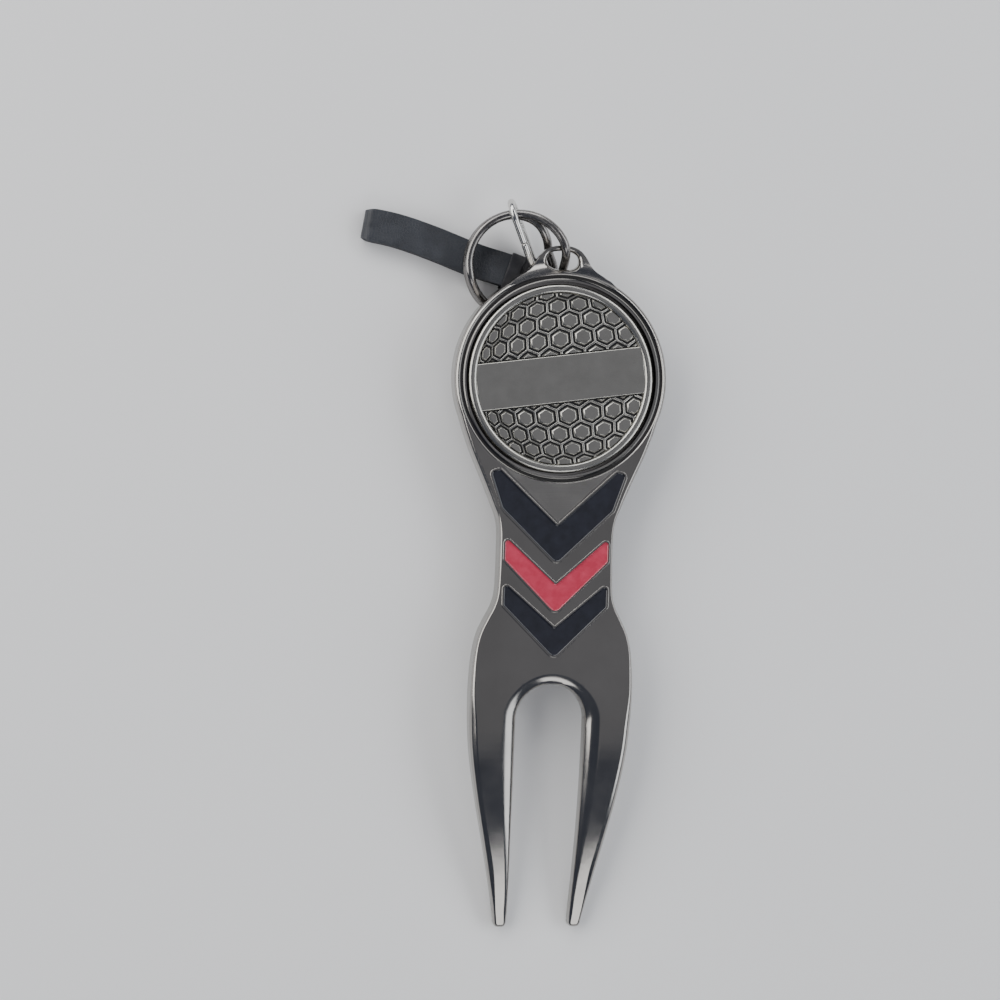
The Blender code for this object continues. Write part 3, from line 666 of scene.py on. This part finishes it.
def chevron(kind):
    """Outline of one enamel recess."""
    if kind == "upper":
        right = [(7.42, -17.15, 0.6), (9.1, -12.35, 0.55), (7.85, -12.0, 0.5)]
        inner, apex = -19.25, -24.25
    elif kind == "middle":
        right = [(6.93, -23.85, 0.5), (6.93, -20.75, 0.4)]
        inner, apex = -26.95, -30.75
    else:
        right = [(6.93, -29.8, 0.5), (6.93, -26.75, 0.4)]
        inner, apex = -32.65, -36.65
    left = [(-x, y, r) for x, y, r in reversed(right)]
    return rounded([(0.0, apex, 0.9)] + right + [(0.0, inner, 0.35)] + left, 8)


LUG_DISH = catmull([(13.72, 3.35), (14.0, 3.1), (14.35, 2.82), (14.8, 2.5), (15.3, 2.28), (15.9, 2.15),
                    (16.7, 2.1)], 3)


def lug_dish():
    """Hollow that follows the round of the head and falls to the outer edge of the lug."""
    profile = LUG_DISH + [(20.0, LUG_FRONT), (20.0, 5.0), (LUG_DISH[0][0], 5.0)]
    levels = []
    for k in range(63):
        a = math.radians(59.0 + k)
        levels.append([(r * math.cos(a), r * math.sin(a), z) for r, z in profile])
    return loft(levels)


def dish_height(x, y):
    """Height of the lug front at a point of the hollow."""
    r = math.hypot(x, y)
    for (r0, z0), (r1, z1) in zip(LUG_DISH, LUG_DISH[1:]):
        if r <= r1:
            return z0 + (z1 - z0) * (r - r0) / (r1 - r0)
    return LUG_DISH[-1][1]


def lug_hole():
    """Oval hole with a flared back, and a flared front that follows the hollow."""
    levels = []
    for rise, grow in ((-0.35, 0.85), (0.0, 0.42), (0.08, 0.27), (0.18, 0.15), (0.3, 0.06), (0.4, 0.02)):
        ring = oval(HOLE_X + grow, HOLE_Y + grow * 0.8, 72, 0.0, HOLE_CY)
        levels.append([(x, y, LUG_BACK + rise) for x, y in ring])
    for rise, grow in ((-0.4, 0.02), (-0.3, 0.06), (-0.18, 0.15), (-0.08, 0.27), (0.0, 0.42), (0.45, 0.95)):
        ring = oval(HOLE_X + grow, HOLE_Y + grow * 0.8, 72, 0.0, HOLE_CY)
        levels.append([(x, y, dish_height(x, y) + rise) for x, y in ring])
    return loft(levels)


def make_body(mat):
    """Casting with lips, recesses, pocket, magnet well, ring hole and the cove round the rim."""
    body = to_object("casting", make_body_blank(), mat, place=False)
    for kind in ("upper", "middle", "lower"):
        lip = prism(inset(chevron(kind), -LIP_W), BODY_T - 0.5, BODY_T + LIP_H, 0.1, 4)
        combine(body, to_object("lip", lip, place=False), "UNION")
    for kind in ("upper", "middle", "lower"):
        cut = prism(chevron(kind), BODY_T - RECESS_DEPTH, BODY_T + 1.0)
        combine(body, to_object("cut", cut, place=False), "DIFFERENCE")
    pocket = prism(circle(POCKET_R, 192), POCKET_FLOOR, BODY_T + 1.0)
    combine(body, to_object("cut", pocket, place=False), "DIFFERENCE")
    well = prism(circle(MAGNET_R + MAGNET_GAP, 96), MAGNET_FLOOR, BODY_T)
    combine(body, to_object("cut", well, place=False), "DIFFERENCE")
    combine(body, to_object("cut", lug_dish(), place=False), "DIFFERENCE")
    under = [(13.2, -1.0), (13.2, -0.02), (13.5, 0.3), (13.9, 0.62), (14.4, LUG_BACK),
             (19.0, LUG_BACK), (19.0, -1.0)]
    combine(body, to_object("cut", side_prism(under, 7.0), place=False), "DIFFERENCE")
    combine(body, to_object("cut", lug_hole(), place=False), "DIFFERENCE")
    groove = []
    for k in range(48):
        a = 2 * math.pi * k / 48
        groove.append((COVE_AT + COVE_RADIUS * math.cos(a), BODY_T + COVE_RAISE + COVE_RADIUS * math.sin(a)))
    combine(body, to_object("cut", turned(groove, 192), place=False), "DIFFERENCE")
    for vert in body.data.vertices:
        vert.co.z = bend(vert.co.z, vert.co.y)
    body.data.transform(Matrix.Translation(ORIGIN) @ Matrix.Scale(MM, 4))
    finish_shading(body, 35)
    return body


def make_enamel(kind, mat):
    """Enamel fill with a soft meniscus at its border."""
    outline = inset(chevron(kind), ENAMEL_GAP)
    z0 = BACK_Z + BODY_T - RECESS_DEPTH + ENAMEL_GAP
    z1 = BACK_Z + BODY_T + LIP_H - ENAMEL_DROP
    levels = [[(x, y, z0) for x, y in outline]]
    for grow, drop in ((0.0, 0.0), (0.06, 0.05), (0.15, 0.085), (0.28, 0.1)):
        levels.append([(x, y, z1 - drop) for x, y in inset(outline, grow)])
    obj = to_object("enamel_fill_" + kind, loft(levels), mat)
    finish_shading(obj, 50)
    return obj


# ---------------------------------------------------------------- ball marker

def squeeze(x, y):
    """Draw the cells closer together toward the edge, as on a shallow dome."""
    r = max(1e-6, math.hypot(x, y))
    k = DOME_R * math.sin(min(r / DOME_R, 1.5)) / r
    return x * k + DOME_X, y * k


def honeycomb():
    """Slab with a raised hexagon and a thin ridge round every cell."""
    bm = bmesh.new()
    profile = [(1.0, 1.46), (0.95, 1.45), (0.92, 1.42), (0.89, 1.3), (0.87, 1.23), (0.81, 1.22),
               (0.745, 1.23), (0.72, 1.31), (0.70, 1.36), (0.6, 1.5), (0.58, 1.515), (0.555, 1.52)]
    tall = ROW_PITCH / (CELL_PITCH * math.sqrt(3.0) / 2.0)
    side = CELL_PITCH / math.sqrt(3.0)
    for row in range(-6, 7):
        cy = row * ROW_PITCH + 0.17
        for col in range(-7, 7):
            cx = (col + 0.5 * ((row + 1) % 2)) * CELL_PITCH
            if math.hypot(cx, cy) > 19.0:
                continue
            rings = []
            for scale, z in profile:
                ring = []
                for k in range(6):
                    a = math.radians(30 + 60 * k)
                    px, py = squeeze(cx + side * scale * math.cos(a),
                                     cy + side * tall * scale * math.sin(a))
                    ring.append(bm.verts.new((px, py, z)))
                rings.append(ring)
            for low, high in zip(rings, rings[1:]):
                for i in range(6):
                    j = (i + 1) % 6
                    bm.faces.new((low[i], low[j], high[j], high[i]))
            bm.faces.new(rings[-1])
    bmesh.ops.remove_doubles(bm, verts=bm.verts, dist=1e-3)
    border = [e for e in bm.edges if len(e.link_faces) == 1]
    wall = bmesh.ops.extrude_edge_only(bm, edges=border)["geom"]
    for v in [v for v in wall if isinstance(v, bmesh.types.BMVert)]:
        v.co.z = 1.0
    rim = [e for e in wall if isinstance(e, bmesh.types.BMEdge) and len(e.link_faces) == 1]
    bmesh.ops.contextual_create(bm, geom=rim)
    return bm


def segment(sign):
    """Part of the field on one side of the plain band."""
    y0 = sign * (BAND_HALF + 0.12)
    a0 = math.asin(abs(y0) / FIELD_R)
    out = []
    for k in range(57):
        a = a0 + (math.pi - 2 * a0) * k / 56
        out.append((FIELD_R * math.cos(a), sign * FIELD_R * math.sin(a)))
    return out


def make_marker(mat):
    """Disc with a raised rim, two honeycomb fields and a plain band between them."""
    profile = [(0.0, 0.0), (12.1, 0.0), (12.3, 0.08), (MARKER_R, 0.3), (MARKER_R, 1.3), (12.35, 1.48),
               (12.22, 1.64), (12.05, 1.72), (11.88, MARKER_T), (11.66, MARKER_T), (11.46, 1.7),
               (11.32, 1.6), (11.24, 1.46), (11.15, 1.24), (11.05, 1.2), (0.0, 1.2)]
    disc = to_object("marker_disc", spun(profile, 192), mat, place=False)
    for sign in (1, -1):
        cells = to_object("cells", honeycomb(), place=False)
        combine(cells, to_object("part", prism(segment(sign), 1.1, 2.2), place=False), "INTERSECT")
        combine(disc, cells, "UNION")
    bar = [(-BAND_REACH, -BAND_HALF), (BAND_REACH, -BAND_HALF), (BAND_REACH, BAND_HALF),
           (-BAND_REACH, BAND_HALF)]
    combine(disc, to_object("bar", prism(bar, 1.0, 1.58, 0.2, 4), place=False), "UNION")
    disc.data.transform(Matrix.Rotation(MARKER_TURN, 4, "Z"))
    disc.data.transform(Matrix.Translation((0, 0, BACK_Z + POCKET_FLOOR + 0.05)))
    disc.data.transform(Matrix.Translation(ORIGIN) @ Matrix.Scale(MM, 4))
    finish_shading(disc, 32)
    return disc


# ---------------------------------------------------------------- ring, link, strap

# Wire height and turn radius against the angle round the split ring, in degrees
RING_HEIGHT = [(-20, 2.75), (-9, 3.3), (-2, 4.1), (5, 5.1), (12, 6.05), (20, 6.7), (32, 6.9),
               (60, 6.4), (90, 5.6), (120, 5.05), (150, 4.65), (180, 4.25), (198, 4.05),
               (220, 2.95), (240, 1.98), (270, 1.82), (315, 1.6), (340, 1.3), (360, 1.5),
               (380, 2.8), (398, 4.0), (420, 4.8), (450, 4.36), (480, 3.82), (510, 3.42),
               (540, 3.0), (558, 2.75), (580, 1.6), (600, 0.68), (630, 0.6), (645, 0.6)]
RING_RADIUS = [(-20, 6.35), (300, 6.35), (335, 6.2), (360, 5.5), (380, 4.9), (400, 5.2), (430, 6.0),
               (455, 6.3), (480, 6.35), (645, 6.35)]


def spread(knots, at):
    """Smooth value between the knots of an (angle, value) table."""
    for i in range(len(knots) - 1):
        x0, y0 = knots[i]
        x1, y1 = knots[i + 1]
        if at <= x1:
            span = x1 - x0
            t = (at - x0) / span
            before = knots[i - 1] if i > 0 else (x0 - span, 2 * y0 - y1)
            after = knots[i + 2] if i + 2 < len(knots) else (x1 + span, 2 * y1 - y0)
            m0 = (y1 - before[1]) / (x1 - before[0]) * span
            m1 = (after[1] - y0) / (after[0] - x0) * span
            t2, t3 = t * t, t * t * t
            return ((2 * t3 - 3 * t2 + 1) * y0 + (t3 - 2 * t2 + t) * m0
                    + (-2 * t3 + 3 * t2) * y1 + (t3 - t2) * m1)
    return knots[-1][1]


def ring_point(deg):
    """Centre of the split ring's wire at an angle round its two turns."""
    a = math.radians(deg)
    r = spread(RING_RADIUS, deg)
    return Vector((RING_C[0] + r * math.cos(a), RING_C[1] + r * math.sin(a),
                   spread(RING_HEIGHT, deg)))


def make_ring(mat):
    points = [ring_point(-18.5 + 1.8 * k) for k in range(368)]
    return tube("key_ring", points, RING_WIRE, 20, mat)


def link_top():
    """Point between the split ring's two turns where the link hangs."""
    return (ring_point(LINK_AT) + ring_point(LINK_AT + 360.0)) / 2.0


def link_frame():
    """Centre of the link and the directions along and across it."""
    u = (LINK_EYE - link_top()).normalized()
    side = Vector((u.y, -u.x, 0.0)).normalized()
    rise = side.cross(u).normalized()
    v = side * math.cos(LINK_ROLL) + rise * math.sin(LINK_ROLL)
    return LINK_EYE - u * LINK_HALF, u, v


def stadium(t, straight, radius, u, v):
    """Point on a loop of two straights and two round ends, for t from 0 to 1."""
    total = 4 * straight + 2 * math.pi * radius
    s = (t % 1.0) * total
    if s < straight:
        return u * s + v * radius
    s -= straight
    if s < math.pi * radius:
        a = s / radius
        return u * (straight + radius * math.sin(a)) + v * (radius * math.cos(a))
    s -= math.pi * radius
    if s < 2 * straight:
        return u * (straight - s) - v * radius
    s -= 2 * straight
    if s < math.pi * radius:
        a = s / radius
        return u * (-straight - radius * math.sin(a)) - v * (radius * math.cos(a))
    s -= math.pi * radius
    return u * (-straight + s) + v * radius


def make_link(mat):
    centre, u, v = link_frame()
    straight = LINK_HALF - LINK_END_R
    points = []
    for k in range(161):
        t = k / 160.0
        points.append(centre + stadium(t * 0.985 + 0.0075, straight, LINK_END_R, u, v))
    return tube("bright_link", points, LINK_WIRE, 18, mat)


def strap_path():
    """Centre line of the strap, seen from above."""
    d = Vector((math.cos(STRAP_DIR), math.sin(STRAP_DIR)))
    n = Vector((-d.y, d.x))
    start = strap_base()
    pts = [start, start + d * 2.0, start + d * 6.0 + n * 0.15, start + d * 12.0,
           start + d * 17.0 + n * 0.15, start + d * 21.4 + n * 0.8]
    return catmull([(p.x, p.y) for p in pts], 12)


def strap_base():
    """Start of the strap's centre line, beside the eye of the clamp."""
    d = Vector((math.cos(STRAP_DIR), math.sin(STRAP_DIR)))
    return Vector(LINK_EYE[:2]) + d * STRAP_START + Vector((-d.y, d.x)) * STRAP_SIDE


def strap_point(path, s, w):
    """Point at distance s along the path and w across it."""
    last = len(path) - 1
    for i in range(last):
        a = Vector(path[i])
        b = Vector(path[i + 1])
        length = (b - a).length
        if s <= length or i == last - 1:
            d = (b - a).normalized()
            p = a + d * s
            return p.x - d.y * w, p.y + d.x * w
        s -= length
    return path[-1]


def strap_length(path):
    return sum((Vector(b) - Vector(a)).length for a, b in zip(path, path[1:]))


def strap_rise(z, s):
    """Height in the strap, which settles to the resting surface beyond the clamp."""
    return z - (CLAMP_SHEET + 0.05) * ramp(s, CLAMP_LEN, CLAMP_LEN + 4.0)


def make_strap(mat):
    """Band folded double at its far end, with rounded edges."""
    path = strap_path()
    length = strap_length(path)
    z0 = CLAMP_SHEET + 0.05
    layer = STRAP_LAYER
    gap = STRAP_LAYER_GAP
    top = 2 * layer + gap
    mid = top / 2.0
    run = length - mid
    cuts = 46
    inner = [(run * k / cuts, layer + gap) for k in range(cuts + 1)]
    lower = [(run - run * k / cuts, layer) for k in range(cuts + 1)]
    outer_low = [(run * k / cuts, 0.0) for k in range(cuts + 1)]
    fold_out = [(run + mid * math.sin(math.pi * k / 14.0), mid - mid * math.cos(math.pi * k / 14.0))
                for k in range(1, 14)]
    outer_top = [(run - run * k / cuts, top) for k in range(cuts + 1)]
    fold_in = [(run + gap / 2 * math.sin(math.pi * k / 6.0), mid - gap / 2 * math.cos(math.pi * k / 6.0))
               for k in (5, 4, 3, 2, 1)]
    profile = outer_low + fold_out + outer_top + inner + fold_in + lower
    half = STRAP_W / 2.0
    rows = []
    edge = STRAP_EDGE
    for k in range(6):
        a = math.pi / 2 * k / 5
        rows.append((-half + edge * (1 - math.sin(a)), edge * math.cos(a)))
    mids = [(-half + edge + (STRAP_W - 2 * edge) * k / 10.0, 0.0) for k in range(1, 10)]
    rows = rows + mids + [(-w, p) for w, p in reversed(rows)]
    levels = []
    for w, pinch in rows:
        ring = []
        for s, z in inset(profile, pinch):
            corner = max(0.0, s - (length - 1.6)) / 1.6
            reach = w * (1.0 - 0.16 * corner * corner)
            x, y = strap_point(path, max(0.0, s), reach)
            ring.append((x, y, z0 + strap_rise(z, s)))
        levels.append(ring)
    obj = to_object("folded_strap", loft(levels), mat)
    finish_shading(obj, 60, weighted=False)
    return obj


def make_clamp(mat):
    """Folded sheet clamp with a flat tab and an eye for the link."""
    d = Vector((math.cos(STRAP_DIR), math.sin(STRAP_DIR), 0.0))
    n = Vector((-d.y, d.x, 0.0))
    base = strap_base().to_3d()
    sheet = CLAMP_SHEET
    height = 2 * STRAP_LAYER + STRAP_LAYER_GAP + 0.1 + 2 * sheet
    wall = CLAMP_WALL
    back = wall - sheet + CLAMP_BEND
    corner = []
    foot = []
    for k in range(7):
        a = math.pi / 2 * k / 6
        c = CLAMP_BEND * math.cos(a)
        s = CLAMP_BEND * math.sin(a)
        corner.append((back - s, height - CLAMP_BEND + c))
        foot.append((back - c, CLAMP_BEND - s))
    profile = foot + [(CLAMP_LEN - 0.1, 0.0), (CLAMP_LEN, 0.1), (CLAMP_LEN, sheet), (wall, sheet),
                      (wall, height - sheet), (CLAMP_LEN, height - sheet), (CLAMP_LEN, height - 0.1),
                      (CLAMP_LEN - 0.1, height)] + corner
    half = CLAMP_W / 2.0
    levels = []
    for w, pinch in ((-half, 0.1), (-half + 0.05, 0.03), (-half + 0.12, 0.0), (half - 0.12, 0.0),
                     (half - 0.05, 0.03), (half, 0.1)):
        ring = []
        for s, z in inset(profile, pinch):
            p = base + d * s + n * w
            ring.append((p.x, p.y, z))
        levels.append(ring)
    clamp = to_object("end_clamp", loft(levels), mat, place=False)
    tab_z = LINK_EYE.z - TAB_T / 2.0
    outline = []
    for k in range(33):
        a = STRAP_DIR + math.pi / 2 + math.pi * k / 32.0
        outline.append((LINK_EYE.x + TAB_R * math.cos(a), LINK_EYE.y + TAB_R * math.sin(a)))
    for side in (-TAB_R, TAB_R):
        p = Vector((LINK_EYE.x, LINK_EYE.y, 0.0)) + d * (STRAP_START - 0.3) + n * side
        outline.append((p.x, p.y))
    tab = to_object("tab", prism(outline, tab_z, tab_z + TAB_T), place=False)
    combine(clamp, tab, "UNION")
    hole = prism(circle(EYE_R, 40, LINK_EYE.x, LINK_EYE.y), tab_z - 0.5, tab_z + TAB_T + 0.5)
    combine(clamp, to_object("cut", hole, place=False), "DIFFERENCE")
    clamp.data.transform(Matrix.Translation(ORIGIN) @ Matrix.Scale(MM, 4))
    finish_shading(clamp, 35)
    return clamp


# ---------------------------------------------------------------- build

metal = gunmetal()
black = enamel("enamel_black", (0.010, 0.011, 0.017), (0.018, 0.02, 0.03))
red = enamel("enamel_red", (0.48, 0.035, 0.07), (0.6, 0.06, 0.11))
silver = wire_metal("bright_nickel", (0.55, 0.54, 0.52), (0.72, 0.71, 0.69), 0.14)
ring_finish = wire_metal("ring_gunmetal", (0.2, 0.19, 0.185), (0.3, 0.29, 0.28), 0.2)
clamp_finish = wire_metal("clamp_gunmetal", (0.07, 0.07, 0.075), (0.12, 0.12, 0.125), 0.3)

pieces = [
    (make_body(metal), "tool", ["tool_body"], "gunmetal"),
    (make_enamel("upper", black), "tool", ["enamel_upper"], "enamel_black"),
    (make_enamel("middle", red), "tool", ["enamel_middle"], "enamel_red"),
    (make_enamel("lower", black), "tool", ["enamel_lower"], "enamel_black"),
    (make_marker(antique()), "marker", ["ball_marker"], "marker_metal"),
    (make_ring(ring_finish), "ring", ["split_ring"], "ring_metal"),
    (make_link(silver), "link", ["oval_link"], "link_metal"),
    (make_strap(leather()), "strap_end", ["strap"], "strap_leather"),
    (make_clamp(clamp_finish), "strap_end", ["strap_clamp"], "ring_metal"),
]
for obj, body, nodes, slot in pieces:
    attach(obj, body)
    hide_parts(*nodes)

magnet_finish = wire_metal("magnet_nickel", (0.5, 0.5, 0.5), (0.62, 0.62, 0.61), 0.22)
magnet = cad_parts["magnet"]
magnet.data.materials.clear()
magnet.data.materials.append(magnet_finish)


# ---------------------------------------------------------------- floor, light, camera

FLOOR_HALF = 1.5
FLOOR_DROP = 0.00002


def make_floor():
    """Large ground just under the resting surface."""
    bm = bmesh.new()
    bmesh.ops.create_grid(bm, x_segments=8, y_segments=8, size=FLOOR_HALF)
    mesh = bpy.data.meshes.new("floor")
    bm.to_mesh(mesh)
    bm.free()
    floor = bpy.data.objects.new("floor", mesh)
    floor.location = (0.0, 0.0, CAD_BOX[0].z - FLOOR_DROP)
    bpy.context.collection.objects.link(floor)
    mesh.materials.append(floor_material())


def area_light(name, place, target, size, watts, color=(1, 1, 1)):
    """Rectangular light at a place, turned to its target."""
    data = bpy.data.lights.new(name, "AREA")
    data.shape = "RECTANGLE"
    data.size, data.size_y = size
    data.energy = watts
    data.color = color
    obj = bpy.data.objects.new(name, data)
    obj.location = place
    obj.rotation_mode = "QUATERNION"
    obj.rotation_quaternion = (Vector(target) - Vector(place)).to_track_quat("-Z", "Y")
    bpy.context.collection.objects.link(obj)
    return obj


def panel(name, offset, size, radiance, color=(1, 1, 1)):
    """Soft rectangular light of a given brightness, facing the object."""
    place = MIDDLE + Vector(offset)
    watts = radiance * math.pi * size[0] * size[1]
    return area_light(name, place, MIDDLE, size, watts, color)


make_floor()

# Point near the neck that every light faces
MIDDLE = ORIGIN + Vector((0.0, -0.025, 0.005))

panel("left", (-0.5, 0.15, 0.38), (0.7, 0.5), 3.0, (1.0, 0.985, 0.96))
panel("right", (0.55, -0.05, 0.35), (0.6, 0.4), 2.4, (0.94, 0.97, 1.0))
panel("low", (0.12, -0.72, 0.6), (0.5, 0.4), 2.3)
panel("high", (-0.18, 0.64, 0.42), (0.85, 0.36), 3.0)
panel("far", (0.55, 0.45, 0.6), (0.45, 0.4), 2.8)
panel("above", (0.13, 0.03, 0.6), (0.5, 0.36), 0.17, (1.0, 0.96, 0.91))

world = bpy.data.worlds.new("studio")
world.use_nodes = True
world.node_tree.nodes["Background"].inputs["Color"].default_value = (0.08, 0.09, 0.12, 1.0)
world.node_tree.nodes["Background"].inputs["Strength"].default_value = 1.0
bpy.context.scene.world = world

# Camera above the show face, leaning a little to the left
cam_data = bpy.data.cameras.new("camera")
cam_data.sensor_width = 36.0
cam_data.lens = 93.6
cam_data.clip_start = 0.01
cam_data.clip_end = 10.0
camera = bpy.data.objects.new("camera", cam_data)
bpy.context.collection.objects.link(camera)
camera.rotation_mode = "QUATERNION"
right = Vector((0.98084122, 0.02896418, 0.19264367))
up = Vector((-0.02402332, 0.99932103, -0.02793477))
back = Vector((-0.19332198, 0.02277163, 0.98087107))
camera.rotation_quaternion = Matrix((right, up, back)).transposed().to_quaternion()
camera.location = ORIGIN + Vector((-0.07324, -0.00833, 0.33931))
bpy.context.scene.camera = camera
